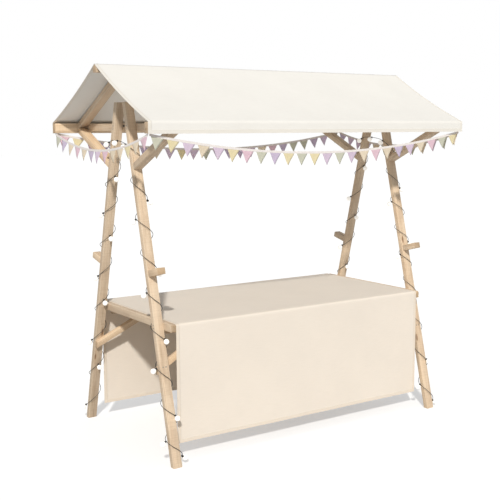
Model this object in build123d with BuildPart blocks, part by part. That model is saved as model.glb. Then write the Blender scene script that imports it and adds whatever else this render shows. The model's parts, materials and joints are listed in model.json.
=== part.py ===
from build123d import *
import math
import os

# Driving dimensions, millimetres. The origin is on the ground under the middle of the stall.
roof_length = 2510
roof_depth = 1372
ridge_height = 2432
eave_height = 2076
eave_drop = 71
table_length = 1998
table_depth = 1038
table_height = 860
cloth_gap_to_ground = 111
cloth_thickness = 3
fold_radius = 16
seat_gap = 1

# End frames
leg_plane_x = 1061
leg_width = 60
leg_depth = 36
leg_foot_y = 609
leg_slope = 0.2515
leg_top_z = 2200
leg_inner_x = leg_plane_x - leg_width / 2

# Roof timbers
rail_depth = 42
rail_height = 65
rail_outer_y = roof_depth / 2 - cloth_thickness - seat_gap
rail_inner_y = rail_outer_y - rail_depth
rail_top_z = eave_height - cloth_thickness - seat_gap
ridge_width = 44
ridge_bottom_z = 2378
ridge_shoulder_z = 2413
ridge_top_z = ridge_height - cloth_thickness - 4 * seat_gap
rafter_width = 60
rafter_depth = 34
rafter_ridge_z = 2399
tie_beam_thickness = 36
tie_beam_bottom_z = 2020
tie_beam_height = 45

# Braces from the legs out to the eaves
knee_width = 60
knee_depth = 38
knee_slope = 0.48
knee_bottom_z = 1785

# Table frame
bearer_thickness = 34
bearer_height = 46
board_thickness = 18
board_width = 195
board_count = 5
board_gap = 6
table_rail_thickness = 34
table_rail_height = 60
table_brace_slope = 0.53
table_brace_depth = 40
table_brace_thickness = 32
table_brace_foot_z = 546

# Arms on the outer face of each leg
arm_length = 125
arm_width = 54
arm_height = 40
arm_height_on_leg = 1150

# Strings of lamps wound round the legs: the height where each turn crosses the side that looks forward
turn_heights = {
    "front_left": [1880, 1650, 1425, 1215, 980, 770, 530, 315, 110],
    "front_right": [1880, 1640, 1440, 1240, 1060, 870, 620, 360, 110],
    "back_left": [2020, 1735, 1535, 1340, 1110, 890, 655, 420, 170],
    "back_right": [2020, 1750, 1550, 1360, 1160, 955, 745, 480, 190],
}
cable_width = 4.6
cable_sides = 3
cable_side_stand_off = 10
cable_face_stand_off = 6
cable_bend_share = 0.45
socket_width = 13
socket_length = 10
bulb_width = 34
bulb_neck_width = 12
bulb_neck_height = 9
bulb_middle_height = 15
bulb_crown_width = 14
bulb_crown_height = 10
bulb_sides = 6
lamp_droop = 35
lamp_off_middle = 20

# Bunting under the eaves
bunting_half_lengths = {"along": 1235, "across": 661}
bunting_sags = {"along": 120, "across": 100}
bunting_tape_width = 14
bunting_thickness = 2
flag_width = 92
flag_drop = 82
flag_pitch = 102

os.makedirs("parts", exist_ok=True)
end_sides = {"left": -1, "right": 1}
face_sides = {"front": -1, "back": 1}
lean = math.atan(leg_slope)
leg_half_level = leg_depth / 2 / math.cos(lean)
board_top_z = table_height - cloth_thickness - seat_gap
board_bottom_z = board_top_z - board_thickness


def save(name, solid):
    solid.label = name
    export_step(solid, f"parts/{name}.step")


def leg_centre_y(z):
    return leg_foot_y - leg_slope * z


def cross_plane(x):
    """A sketch plane across the stall at x: its own X runs along +Y and its own Y runs up."""
    return Plane(origin=(x, 0, 0), x_dir=(0, 1, 0), z_dir=(1, 0, 0))


def front_plane(y):
    """A sketch plane along the stall at y: its own X runs along +X and its own Y runs up."""
    return Plane(origin=(0, y, 0), x_dir=(1, 0, 0), z_dir=(0, -1, 0))


def make_profile_timber(name, side, face, width, corners):
    """A timber cut to a straight-sided profile, centred on the plane of the end frame."""
    with BuildPart() as timber:
        with BuildSketch(cross_plane(side * (leg_plane_x - width / 2))):
            with BuildLine():
                Polyline(*[(face * y, z) for y, z in corners], close=True)
            make_face()
        extrude(amount=side * width)
    save(name, timber.part)


def leg_corners():
    top_y = leg_centre_y(leg_top_z)
    return [
        (leg_foot_y - leg_half_level, 0),
        (leg_foot_y + leg_half_level, 0),
        (top_y + leg_half_level, leg_top_z),
        (top_y - leg_half_level, leg_top_z),
    ]


def rafter_corners():
    foot_y = rail_inner_y
    ridge_y = ridge_width / 2
    slope = (rafter_ridge_z - rail_top_z) / (foot_y - ridge_y)
    drop = rafter_depth * math.sqrt(1 + slope * slope)
    return [
        (foot_y, rail_top_z),
        (ridge_y, rafter_ridge_z),
        (ridge_y, rafter_ridge_z - drop),
        (foot_y, rail_top_z - drop),
    ]


def knee_corners():
    top_y, top_z = rafter_corners()[3]
    rafter_slope = (rafter_ridge_z - rail_top_z) / (rail_inner_y - ridge_width / 2)
    rise = knee_depth * math.sqrt(1 + knee_slope * knee_slope)

    def leg_face_y(z):
        return leg_centre_y(z) + leg_half_level

    lower_y = leg_face_y(knee_bottom_z)
    # The upper edge meets the leg face higher up, where both lines cross.
    upper_y = (leg_face_y(knee_bottom_z + rise - knee_slope * lower_y)) / (1 + leg_slope * knee_slope)
    upper_z = knee_bottom_z + rise + knee_slope * (upper_y - lower_y)
    # Its other end is cut to the underside of the rafter and to the eave rail.
    meet_y = (top_z + rafter_slope * top_y - upper_z + knee_slope * upper_y) / (knee_slope + rafter_slope)
    meet_z = upper_z + knee_slope * (meet_y - upper_y)
    end_z = knee_bottom_z + knee_slope * (top_y - lower_y)
    return [(lower_y, knee_bottom_z), (top_y, end_z), (top_y, top_z), (meet_y, meet_z), (upper_y, upper_z)]


def arm_corners():
    root_y = leg_centre_y(arm_height_on_leg)
    out_y = math.cos(lean)
    out_z = math.sin(lean)
    corners = []
    for along, up in ((0, -1), (1, -1), (1, 1), (0, 1)):
        reach = leg_depth / 2 + along * arm_length
        shift = up * arm_height / 2
        y = root_y + reach * out_y - shift * out_z
        corners.append((y, arm_height_on_leg + reach * out_z + shift * out_y))
    return corners


for end_name, side in end_sides.items():
    for face_name, face in face_sides.items():
        post = f"{face_name}_{end_name}"
        make_profile_timber(f"leg_{post}", side, face, leg_width, leg_corners())
        make_profile_timber(f"rafter_{post}", side, face, rafter_width, rafter_corners())
        make_profile_timber(f"knee_brace_{post}", side, face, knee_width, knee_corners())
        make_profile_timber(f"arm_{post}", side, face, arm_width, arm_corners())

    with BuildPart() as tie_beam:
        tie_beam_x = leg_inner_x - tie_beam_thickness / 2
        with Locations((side * tie_beam_x, 0, tie_beam_bottom_z + tie_beam_height / 2)):
            Box(tie_beam_thickness, 2 * rail_inner_y, tie_beam_height)
    save(f"tie_beam_{end_name}", tie_beam.part)

# Timbers along the roof
for face_name, face in face_sides.items():
    with BuildPart() as eave_rail:
        with Locations((0, face * (rail_outer_y - rail_depth / 2), rail_top_z - rail_height / 2)):
            Box(roof_length, rail_depth, rail_height)
    save(f"eave_rail_{face_name}", eave_rail.part)

with BuildPart() as ridge_beam:
    with BuildSketch(cross_plane(-roof_length / 2)):
        with BuildLine():
            Polyline(
                (-ridge_width / 2, ridge_bottom_z),
                (ridge_width / 2, ridge_bottom_z),
                (ridge_width / 2, ridge_shoulder_z),
                (0, ridge_top_z),
                (-ridge_width / 2, ridge_shoulder_z),
                close=True,
            )
        make_face()
    extrude(amount=roof_length)
save("ridge_beam", ridge_beam.part)

# Table: two bearers across the ends, two rails between them and boards on the rails
table_rail_bottom_z = board_bottom_z - table_rail_height
table_rail_outer_y = leg_centre_y(table_rail_bottom_z) - leg_half_level
for end_name, side in end_sides.items():
    with BuildPart() as bearer:
        with Locations((side * (leg_inner_x - bearer_thickness / 2), 0, board_top_z - bearer_height / 2)):
            Box(bearer_thickness, table_depth - 2 * (cloth_thickness + seat_gap), bearer_height)
        fillet(bearer.edges().filter_by(Axis.X).group_by(Axis.Z)[-1], radius=fold_radius)
    save(f"table_bearer_{end_name}", bearer.part)

rail_length = 2 * (leg_inner_x - bearer_thickness)
for face_name, face in face_sides.items():
    with BuildPart() as table_rail:
        table_rail_y = table_rail_outer_y - table_rail_thickness / 2
        with Locations((0, face * table_rail_y, table_rail_bottom_z + table_rail_height / 2)):
            Box(rail_length, table_rail_thickness, table_rail_height)
    save(f"table_rail_{face_name}", table_rail.part)

with BuildPart() as table_boards:
    with GridLocations(0, board_width + board_gap, 1, board_count):
        with Locations((0, 0, board_bottom_z + board_thickness / 2)):
            Box(rail_length, board_width, board_thickness)
save("table_boards", table_boards.part)


def leg_face_plane(face):
    """The leaning plane of the legs' inner faces: its own X runs along +X and its own Y up the leg."""
    inward = Vector(0, -face * math.cos(lean), -math.sin(lean))
    foot = Vector(0, face * leg_foot_y, 0) + inward * (leg_depth / 2)
    return Plane(origin=foot, x_dir=(1, 0, 0), z_dir=inward * face)


def make_table_brace(name, side, face):
    """A brace laid against the inner face of a leg, rising to the underside of the table rail."""
    start_x = leg_plane_x + leg_width / 2

    def along_leg(z):
        return (z + leg_depth / 2 * math.sin(lean)) / math.cos(lean)

    rise = table_brace_depth * math.sqrt(1 + table_brace_slope**2)
    lower_start = along_leg(table_brace_foot_z)
    reach = (along_leg(table_rail_bottom_z + table_brace_thickness) - lower_start) / table_brace_slope
    corners = [
        (start_x, lower_start),
        (start_x - reach, lower_start + table_brace_slope * reach),
        (start_x - reach, lower_start + table_brace_slope * reach + rise),
        (start_x, lower_start + rise),
    ]
    with BuildPart() as brace:
        with BuildSketch(leg_face_plane(face)):
            with BuildLine():
                Polyline(*[(side * x, up) for x, up in corners], close=True)
            make_face()
        extrude(amount=face * table_brace_thickness)
        split(bisect_by=Plane.XY.offset(table_rail_bottom_z), keep=Keep.BOTTOM)
    save(name, brace.part)


for end_name, side in end_sides.items():
    for face_name, face in face_sides.items():
        make_table_brace(f"table_brace_{face_name}_{end_name}", side, face)

# Cloths: the roof cover over ridge and eave rails, and the cloth over the table
roof_sag = 15
cover_slope_middle_y = roof_depth / 4
cover_slope_middle_z = (ridge_height + eave_height) / 2 - roof_sag
with BuildPart() as roof_cover:
    with BuildSketch(cross_plane(-roof_length / 2)):
        with BuildLine() as outside:
            for face in face_sides.values():
                ThreePointArc(
                    (0, ridge_height),
                    (face * cover_slope_middle_y, cover_slope_middle_z),
                    (face * roof_depth / 2, eave_height),
                )
                Line((face * roof_depth / 2, eave_height), (face * roof_depth / 2, eave_height - eave_drop))
                Line(
                    (face * roof_depth / 2, eave_height - eave_drop),
                    (face * (roof_depth / 2 - cloth_thickness), eave_height - eave_drop),
                )
                Line(
                    (face * (roof_depth / 2 - cloth_thickness), eave_height - eave_drop),
                    (face * (roof_depth / 2 - cloth_thickness), eave_height - cloth_thickness),
                )
                ThreePointArc(
                    (face * (roof_depth / 2 - cloth_thickness), eave_height - cloth_thickness),
                    (face * cover_slope_middle_y, cover_slope_middle_z - cloth_thickness),
                    (0, ridge_height - cloth_thickness),
                )
        make_face()
    extrude(amount=roof_length)
save("roof_cover", roof_cover.part)

with BuildPart() as table_cloth:
    with BuildSketch(cross_plane(-table_length / 2)):
        with BuildLine():
            half = table_depth / 2
            path = FilletPolyline(
                (-half, cloth_gap_to_ground),
                (-half, table_height),
                (half, table_height),
                (half, cloth_gap_to_ground),
                radius=fold_radius,
            )
            offset(amount=-cloth_thickness, side=Side.RIGHT)
        make_face()
    extrude(amount=table_length)
save("table_cloth", table_cloth.part)

# Strings of lamps: one cable for each end, from the foot of the back leg up, across, and down the front leg
wrap_x = leg_width / 2 + cable_side_stand_off
wrap_y = leg_depth / 2 + cable_face_stand_off
turn_length = 4 * (wrap_x + wrap_y)
first_corner = wrap_x / turn_length
second_corner = (wrap_x + 2 * wrap_y) / turn_length
corner_shares = (first_corner, second_corner, 1 - second_corner, 1 - first_corner)
quarter_turn = 0.25


def leg_point(side, face, across, back, height):
    """A point beside a leg: across runs along +X, and back runs square to the leg, away from the front."""
    centre = Vector(side * leg_plane_x, face * leg_centre_y(height), height)
    return centre + Vector(across, back * math.cos(lean), back * face * math.sin(lean))


def height_in_turn(turns, number, share):
    pitch_from = min(number, len(turns) - 2)
    return turns[number] - share * (turns[pitch_from] - turns[pitch_from + 1])


def winding(side, face, turns):
    """Corners of the cable's way down a leg, once it has crossed the front-looking side."""
    hand = -face
    corners = ((hand, -1), (hand, 1), (-hand, 1), (-hand, -1))
    points = []
    for number in range(len(turns) - 1):
        for (across, back), share in zip(corners, corner_shares):
            height = height_in_turn(turns, number, share)
            points.append(leg_point(side, face, across * wrap_x, back * wrap_y, height))
    last = len(turns) - 1
    points.append(leg_point(side, face, hand * wrap_x, -wrap_y, height_in_turn(turns, last, first_corner)))
    points.append(leg_point(side, face, hand * wrap_x, 0, height_in_turn(turns, last, quarter_turn)))
    return points


def top_of_front_leg(side, turns):
    """The cable's two highest corners on a front leg, the one nearer to the back leg first."""
    return [
        leg_point(side, -1, -wrap_x, wrap_y, height_in_turn(turns, 0, -second_corner)),
        leg_point(side, -1, -wrap_x, -wrap_y, height_in_turn(turns, 0, -first_corner)),
    ]


def cable_route(side, front_turns, back_turns):
    """The whole cable of one end, from the foot of its back leg to the foot of its front leg."""
    up_the_back = winding(side, 1, back_turns)[::-1]
    return up_the_back + top_of_front_leg(side, front_turns) + winding(side, -1, front_turns)


def front_leg_lamps(side, turns):
    """Pairs of a point on the cable and the way out from the leg there."""
    left, right = Vector(-1, 0, 0), Vector(1, 0, 0)
    forward = Vector(0, -math.cos(lean), math.sin(lean))
    last = len(turns) - 1
    lamps = [
        (leg_point(side, -1, -wrap_x, 0, height_in_turn(turns, 0, -quarter_turn)), left),
        (leg_point(side, -1, wrap_x, 0, height_in_turn(turns, last, quarter_turn)), right),
    ]
    for number in range(1, last, 2):
        lamps.append((leg_point(side, -1, -wrap_x, 0, height_in_turn(turns, number, 3 * quarter_turn)), left))
        if turns[number] > table_height:
            lamps.append((leg_point(side, -1, wrap_x, 0, height_in_turn(turns, number, quarter_turn)), right))
        else:
            height = height_in_turn(turns, number, lamp_off_middle / turn_length)
            lamps.append((leg_point(side, -1, lamp_off_middle, -wrap_y, height), forward))
    return lamps


def back_leg_lamps(side, turns):
    left = Vector(-1, 0, 0)
    forward = Vector(0, -math.cos(lean), -math.sin(lean))
    lamps = [(leg_point(side, 1, 0, -wrap_y, height), forward) for height in turns[1::2]]
    for number in range(0, len(turns), 2):
        lamps.append((leg_point(side, 1, -wrap_x, 0, height_in_turn(turns, number, quarter_turn)), left))
    return lamps


def lamp_planes(side, front_turns, back_turns):
    """Where each lamp leaves the cable: a plane whose normal points out of the leg and droops."""
    between_legs = (top_of_front_leg(side, front_turns)[0] + winding(side, 1, back_turns)[0]) / 2
    lamps = front_leg_lamps(side, front_turns) + back_leg_lamps(side, back_turns)
    lamps.append((between_legs, Vector(-1, 0, 0)))
    droop = math.radians(lamp_droop)
    down = Vector(0, 0, -math.sin(droop))
    return [Plane(origin=at, z_dir=out * math.cos(droop) + down) for at, out in lamps]


def bend_radii(points):
    """As large as the runs beside each corner allow, which takes the cable close round the edges of a leg."""
    radii = []
    for before, corner, after in zip(points, points[1:], points[2:]):
        first, second = corner - before, after - corner
        half_turn = math.radians(first.get_angle(second)) / 2
        radii.append(cable_bend_share * min(first.length, second.length) / math.tan(half_turn))
    return radii


def narrowing_angle(end_width, height):
    """How far a bulb's flat sides lean inward, in degrees, where it narrows from its full width."""
    flat_shift = (bulb_width - end_width) / 2 * math.cos(math.pi / bulb_sides)
    return math.degrees(math.atan(flat_shift / height))


def add_bulb(lamp):
    """A six-sided globe of flat faces, because there are so many of them: neck, middle and crown."""
    low = lamp.offset(socket_length + bulb_neck_height)
    high = low.offset(bulb_middle_height)
    downward = Plane(origin=low.origin, x_dir=low.x_dir, z_dir=-low.z_dir)
    parts = (
        (low, bulb_middle_height, 0),
        (high, bulb_crown_height, narrowing_angle(bulb_crown_width, bulb_crown_height)),
        (downward, bulb_neck_height, narrowing_angle(bulb_neck_width, bulb_neck_height)),
    )
    for plane, height, taper in parts:
        with BuildSketch(plane) as outline:
            RegularPolygon(bulb_width / 2, bulb_sides)
        extrude(outline.sketch, amount=height, taper=taper)


for end_name, side in end_sides.items():
    front_turns = turn_heights[f"front_{end_name}"]
    back_turns = turn_heights[f"back_{end_name}"]
    route_points = cable_route(side, front_turns, back_turns)
    radii = bend_radii(route_points)
    lamps = lamp_planes(side, front_turns, back_turns)
    # The flex has three flat sides, because it bends so often, and the sockets are moulded on it.
    with BuildPart() as light_cable:
        with BuildLine() as route:
            FilletPolyline(*route_points, radius=radii)
        with BuildSketch(Plane(origin=route.line @ 0, z_dir=route.line % 0)):
            section = RegularPolygon(cable_width / 2, cable_sides)
        sweep()
        cable_length = sum(edge.length for edge in route.line.edges())
        print(f"light_cable_{end_name}: length {cable_length:.0f} mm")
        print(f"  radii {min(radii):.1f} to {max(radii):.1f} mm")
        print(f"  volume {light_cable.part.volume:.0f}, section by length {section.area * cable_length:.0f}")
        for lamp in lamps:
            with BuildSketch(lamp):
                Rectangle(socket_width, socket_width)
        extrude(amount=socket_length)
    save(f"light_cable_{end_name}", light_cable.part)

    with BuildPart() as light_bulbs:
        for lamp in lamps:
            add_bulb(lamp)
    save(f"light_bulbs_{end_name}", light_bulbs.part)


def make_bunting(name, plane, direction):
    """A sagging tape with pointed flags sewn under it, tied up to the eave rails at its ends."""
    half = bunting_half_lengths[direction]
    sag = bunting_sags[direction]
    tie_z = rail_top_z - rail_height
    arc_radius = (half**2 + sag**2) / (2 * sag)

    def tape_z(along):
        return tie_z - sag + arc_radius - math.sqrt(arc_radius**2 - along**2)

    flag_count = round(2 * half / flag_pitch)
    spacing = 2 * half / flag_count
    with BuildPart() as bunting:
        with BuildSketch(plane):
            with BuildLine():
                ThreePointArc((-half, tie_z), (0, tie_z - sag), (half, tie_z))
                Line((half, tie_z), (half, tie_z - bunting_tape_width))
                ThreePointArc(
                    (half, tie_z - bunting_tape_width),
                    (0, tie_z - sag - bunting_tape_width),
                    (-half, tie_z - bunting_tape_width),
                )
                Line((-half, tie_z - bunting_tape_width), (-half, tie_z))
            make_face()
            for number in range(flag_count):
                middle = (number + 0.5) * spacing - half
                hem = bunting_tape_width / 2
                with BuildLine():
                    Polyline(
                        (middle - flag_width / 2, tape_z(middle - flag_width / 2) - hem),
                        (middle + flag_width / 2, tape_z(middle + flag_width / 2) - hem),
                        (middle, tape_z(middle) - flag_drop),
                        close=True,
                    )
                make_face()
        extrude(amount=bunting_thickness / 2, both=True)
    save(name, bunting.part)


for face_name, face in face_sides.items():
    make_bunting(f"bunting_{face_name}", front_plane(face * (rail_outer_y - rail_depth / 2)), "along")
for end_name, side in end_sides.items():
    make_bunting(f"bunting_{end_name}", cross_plane(side * (roof_length / 2 - 10)), "across")
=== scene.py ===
import bpy
import bmesh
import json
import random
from math import acos, atan, cos, dist, pi, radians, sin, sqrt
from mathutils import Matrix, Vector, noise


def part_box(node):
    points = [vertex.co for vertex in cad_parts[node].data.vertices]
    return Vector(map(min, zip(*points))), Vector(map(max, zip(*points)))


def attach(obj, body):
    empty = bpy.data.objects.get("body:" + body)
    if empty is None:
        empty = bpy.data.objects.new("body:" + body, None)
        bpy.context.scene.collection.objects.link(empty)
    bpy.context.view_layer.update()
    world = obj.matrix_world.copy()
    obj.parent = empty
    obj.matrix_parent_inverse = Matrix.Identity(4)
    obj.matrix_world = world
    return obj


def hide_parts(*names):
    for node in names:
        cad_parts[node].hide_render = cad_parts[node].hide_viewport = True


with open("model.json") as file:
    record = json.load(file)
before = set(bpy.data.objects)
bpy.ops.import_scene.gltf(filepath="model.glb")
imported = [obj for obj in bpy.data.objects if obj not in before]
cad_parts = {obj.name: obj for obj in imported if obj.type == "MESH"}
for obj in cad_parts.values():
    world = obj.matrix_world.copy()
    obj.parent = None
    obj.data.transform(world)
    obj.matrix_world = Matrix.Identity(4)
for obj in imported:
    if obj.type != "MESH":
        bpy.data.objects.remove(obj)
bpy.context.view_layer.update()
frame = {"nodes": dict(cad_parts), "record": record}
scene = bpy.context.scene
scene.view_settings.view_transform = "Standard"
print("frame loaded")


# Small helpers for node trees and meshes

def addNode(tree, kind, inputs=None, **settings):
    node = tree.nodes.new(kind)
    for key, value in settings.items():
        setattr(node, key, value)
    for key, value in (inputs or {}).items():
        socket = node.inputs[key]
        if isinstance(value, bpy.types.NodeSocket):
            tree.links.new(value, socket)
        else:
            socket.default_value = value
    return node


def calc(tree, operation, first, second=0.0, third=0.0):
    return addNode(tree, "ShaderNodeMath", {0: first, 1: second, 2: third}, operation=operation).outputs[0]


def times(tree, first, second):
    return calc(tree, "MULTIPLY", first, second)


def plus(tree, first, second):
    return calc(tree, "ADD", first, second)


def vectorCalc(tree, operation, first, second=(0, 0, 0)):
    return addNode(tree, "ShaderNodeVectorMath", {0: first, 1: second}, operation=operation).outputs[0]


def mixColour(tree, factor, first, second, blend="MIX"):
    inputs = {0: factor, 6: first, 7: second}
    return addNode(tree, "ShaderNodeMix", inputs, data_type="RGBA", blend_type=blend).outputs[2]


def ramp(tree, value, stops, interpolation="LINEAR"):
    node = addNode(tree, "ShaderNodeValToRGB", {0: value})
    node.color_ramp.interpolation = interpolation
    elements = node.color_ramp.elements
    while len(elements) < len(stops):
        elements.new(0.5)
    for element, (place, colour) in zip(elements, stops):
        element.position = place
        element.color = colour if len(colour) == 4 else (*colour, 1)
    return node.outputs[0]


def newMaterial(name):
    material = bpy.data.materials.new(name)
    material.use_nodes = True
    material.node_tree.nodes.clear()
    return material, material.node_tree


def attribute(tree, name, output="Fac"):
    return addNode(tree, "ShaderNodeAttribute", attribute_name=name).outputs[output]


def stretch(tree, place, scale):
    return addNode(tree, "ShaderNodeMapping", {"Vector": place, "Scale": scale}).outputs[0]


def cloudNoise(tree, place, detail, scale=1.0, roughness=0.5, output="Fac"):
    inputs = {"Vector": place, "Scale": scale, "Detail": detail, "Roughness": roughness}
    return addNode(tree, "ShaderNodeTexNoise", inputs).outputs[output]


def spread(tree, value, fromLow, fromHigh, low=0.0, high=1.0, way="SMOOTHSTEP"):
    inputs = {0: value, 1: fromLow, 2: fromHigh, 3: low, 4: high}
    return addNode(tree, "ShaderNodeMapRange", inputs, interpolation_type=way).outputs[0]


def finishSurface(tree, shader):
    output = tree.nodes.new("ShaderNodeOutputMaterial")
    tree.links.new(shader, output.inputs["Surface"])


def newMesh(name, vertices, faces):
    mesh = bpy.data.meshes.new(name)
    mesh.from_pydata(vertices, [], faces)
    return mesh


def newObject(name, data, material=None):
    made = bpy.data.objects.new(name, data)
    scene.collection.objects.link(made)
    if material:
        data.materials.clear()
        data.materials.append(material)
    return made


# The mesh that an object has once its modifiers, or its curve's settings, are worked out.
def workedOut(holder):
    graph = bpy.context.evaluated_depsgraph_get()
    return bpy.data.meshes.new_from_object(holder.evaluated_get(graph), depsgraph=graph)


def smoothByAngle(mesh, degrees=35):
    mesh.shade_smooth()
    mesh.set_sharp_from_angle(angle=radians(degrees))


# Every piece rides on the one body, and stands for the nodes named.
def place(piece, slot, *nodes):
    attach(piece, "root")
    if nodes:
        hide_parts(*nodes)


# Camera, at the place and angle solved from corners and edges in the photograph

cameraView = {
    "place": (-3.7276, -5.3252, 2.0314),
    "turn": radians(34.24),
    "dip": -0.130,
    "roll": -0.0039,
    "lens": 66.79,
}


def setCamera(view):
    turn, dip, roll = view["turn"], view["dip"], view["roll"]
    forward = Vector((sin(turn) * cos(dip), cos(turn) * cos(dip), sin(dip)))
    level = Vector((cos(turn), -sin(turn), 0))
    upright = level.cross(forward)
    right = level * cos(roll) + upright * sin(roll)
    up = upright * cos(roll) - level * sin(roll)
    camera = newObject("stallCamera", bpy.data.cameras.new("stallCamera"))
    camera.data.lens = view["lens"]
    camera.data.sensor_width = 36
    camera.data.clip_end = 200
    axes = Matrix((right, up, -forward)).transposed().to_4x4()
    camera.matrix_world = Matrix.Translation(view["place"]) @ axes
    scene.camera = camera


setCamera(cameraView)
print("camera set")


# Stage: a pale floor, soft sky light and one sun from the front left

stageLook = {
    "floorHalf": 60,
    "floorColour": (0.68, 0.68, 0.68, 1),
    "floorLift": 0.42,
    "skyColour": (0.93, 0.96, 1.0, 1),
    "skyStrength": 0.40,
    "sunPower": 3.0,
    "sunColour": (1.0, 0.97, 0.92),
    "sunTravel": (0.80, 1.12, -1.0),
    "sunSoftness": radians(3),
}


def buildFloor(look):
    half = look["floorHalf"]
    corners = [(-half, -half, 0), (half, -half, 0), (half, half, 0), (-half, half, 0)]
    mesh = newMesh("studioFloor", corners, [(0, 1, 2, 3)])
    material, tree = newMaterial("paleFloor")
    seen = addNode(tree, "ShaderNodeLightPath").outputs["Is Camera Ray"]
    lift = calc(tree, "MULTIPLY", seen, look["floorLift"])
    paint = addNode(tree, "ShaderNodeBsdfDiffuse", {"Color": look["floorColour"]})
    glow = addNode(tree, "ShaderNodeEmission", {"Color": (1, 1, 1, 1), "Strength": lift})
    both = addNode(tree, "ShaderNodeAddShader", {0: paint.outputs[0], 1: glow.outputs[0]})
    finishSurface(tree, both.outputs[0])
    newObject("studioFloor", mesh, material)


def setSky(look):
    scene.world = bpy.data.worlds.new("studioSky")
    scene.world.use_nodes = True
    tree = scene.world.node_tree
    tree.nodes.clear()
    path = addNode(tree, "ShaderNodeLightPath")
    seen = calc(tree, "MAXIMUM", path.outputs["Is Camera Ray"], path.outputs["Is Glossy Ray"])
    seen = calc(tree, "MAXIMUM", seen, path.outputs["Is Transmission Ray"])
    sky = {"Color": look["skyColour"], "Strength": look["skyStrength"]}
    light = addNode(tree, "ShaderNodeBackground", sky)
    white = addNode(tree, "ShaderNodeBackground", {"Color": (1, 1, 1, 1), "Strength": 1.0})
    both = addNode(tree, "ShaderNodeMixShader", {0: seen, 1: light.outputs[0], 2: white.outputs[0]})
    output = tree.nodes.new("ShaderNodeOutputWorld")
    tree.links.new(both.outputs[0], output.inputs["Surface"])


def setSun(look):
    lamp = bpy.data.lights.new("studioSun", "SUN")
    lamp.energy = look["sunPower"]
    lamp.color = look["sunColour"]
    lamp.angle = look["sunSoftness"]
    sun = newObject("studioSun", lamp)
    sun.rotation_euler = Vector(look["sunTravel"]).to_track_quat("-Z", "Y").to_euler()


buildFloor(stageLook)
setSky(stageLook)
setSun(stageLook)
print("stage and lights set")


# Sawn softwood: every timber is cut from its own stem, so rings run through faces and ends alike

woodLook = {
    "early": (0.81, 0.675, 0.53),
    "middle": (0.745, 0.595, 0.435),
    "late": (0.48, 0.335, 0.205),
    "knot": (0.20, 0.095, 0.04),
    "ringSpacing": 0.0055,
    "ringDrift": 0.026,
    "pithAway": (0.034, 0.030),
    "knotPush": 0.010,
    "rubbedColour": (0.80, 0.69, 0.53, 1),
    "patchTone": (0.86, 0.825, 0.80),
    "sawMarkTone": (0.93, 0.92, 0.90),
    "edgeWear": 0.0035,
    "endShade": 0.72,
    "roughness": 0.62,
}

# How often each pattern repeats in a metre, along the grain and across it
woodScales = {
    "drift": (1.3, 9, 9),
    "knots": (3.4, 13, 13),
    "fibre": (6, 420, 420),
    "streaks": (2.2, 60, 60),
    "patches": (5, 16, 16),
    "sawMarks": (130, 5, 5),
}


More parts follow.
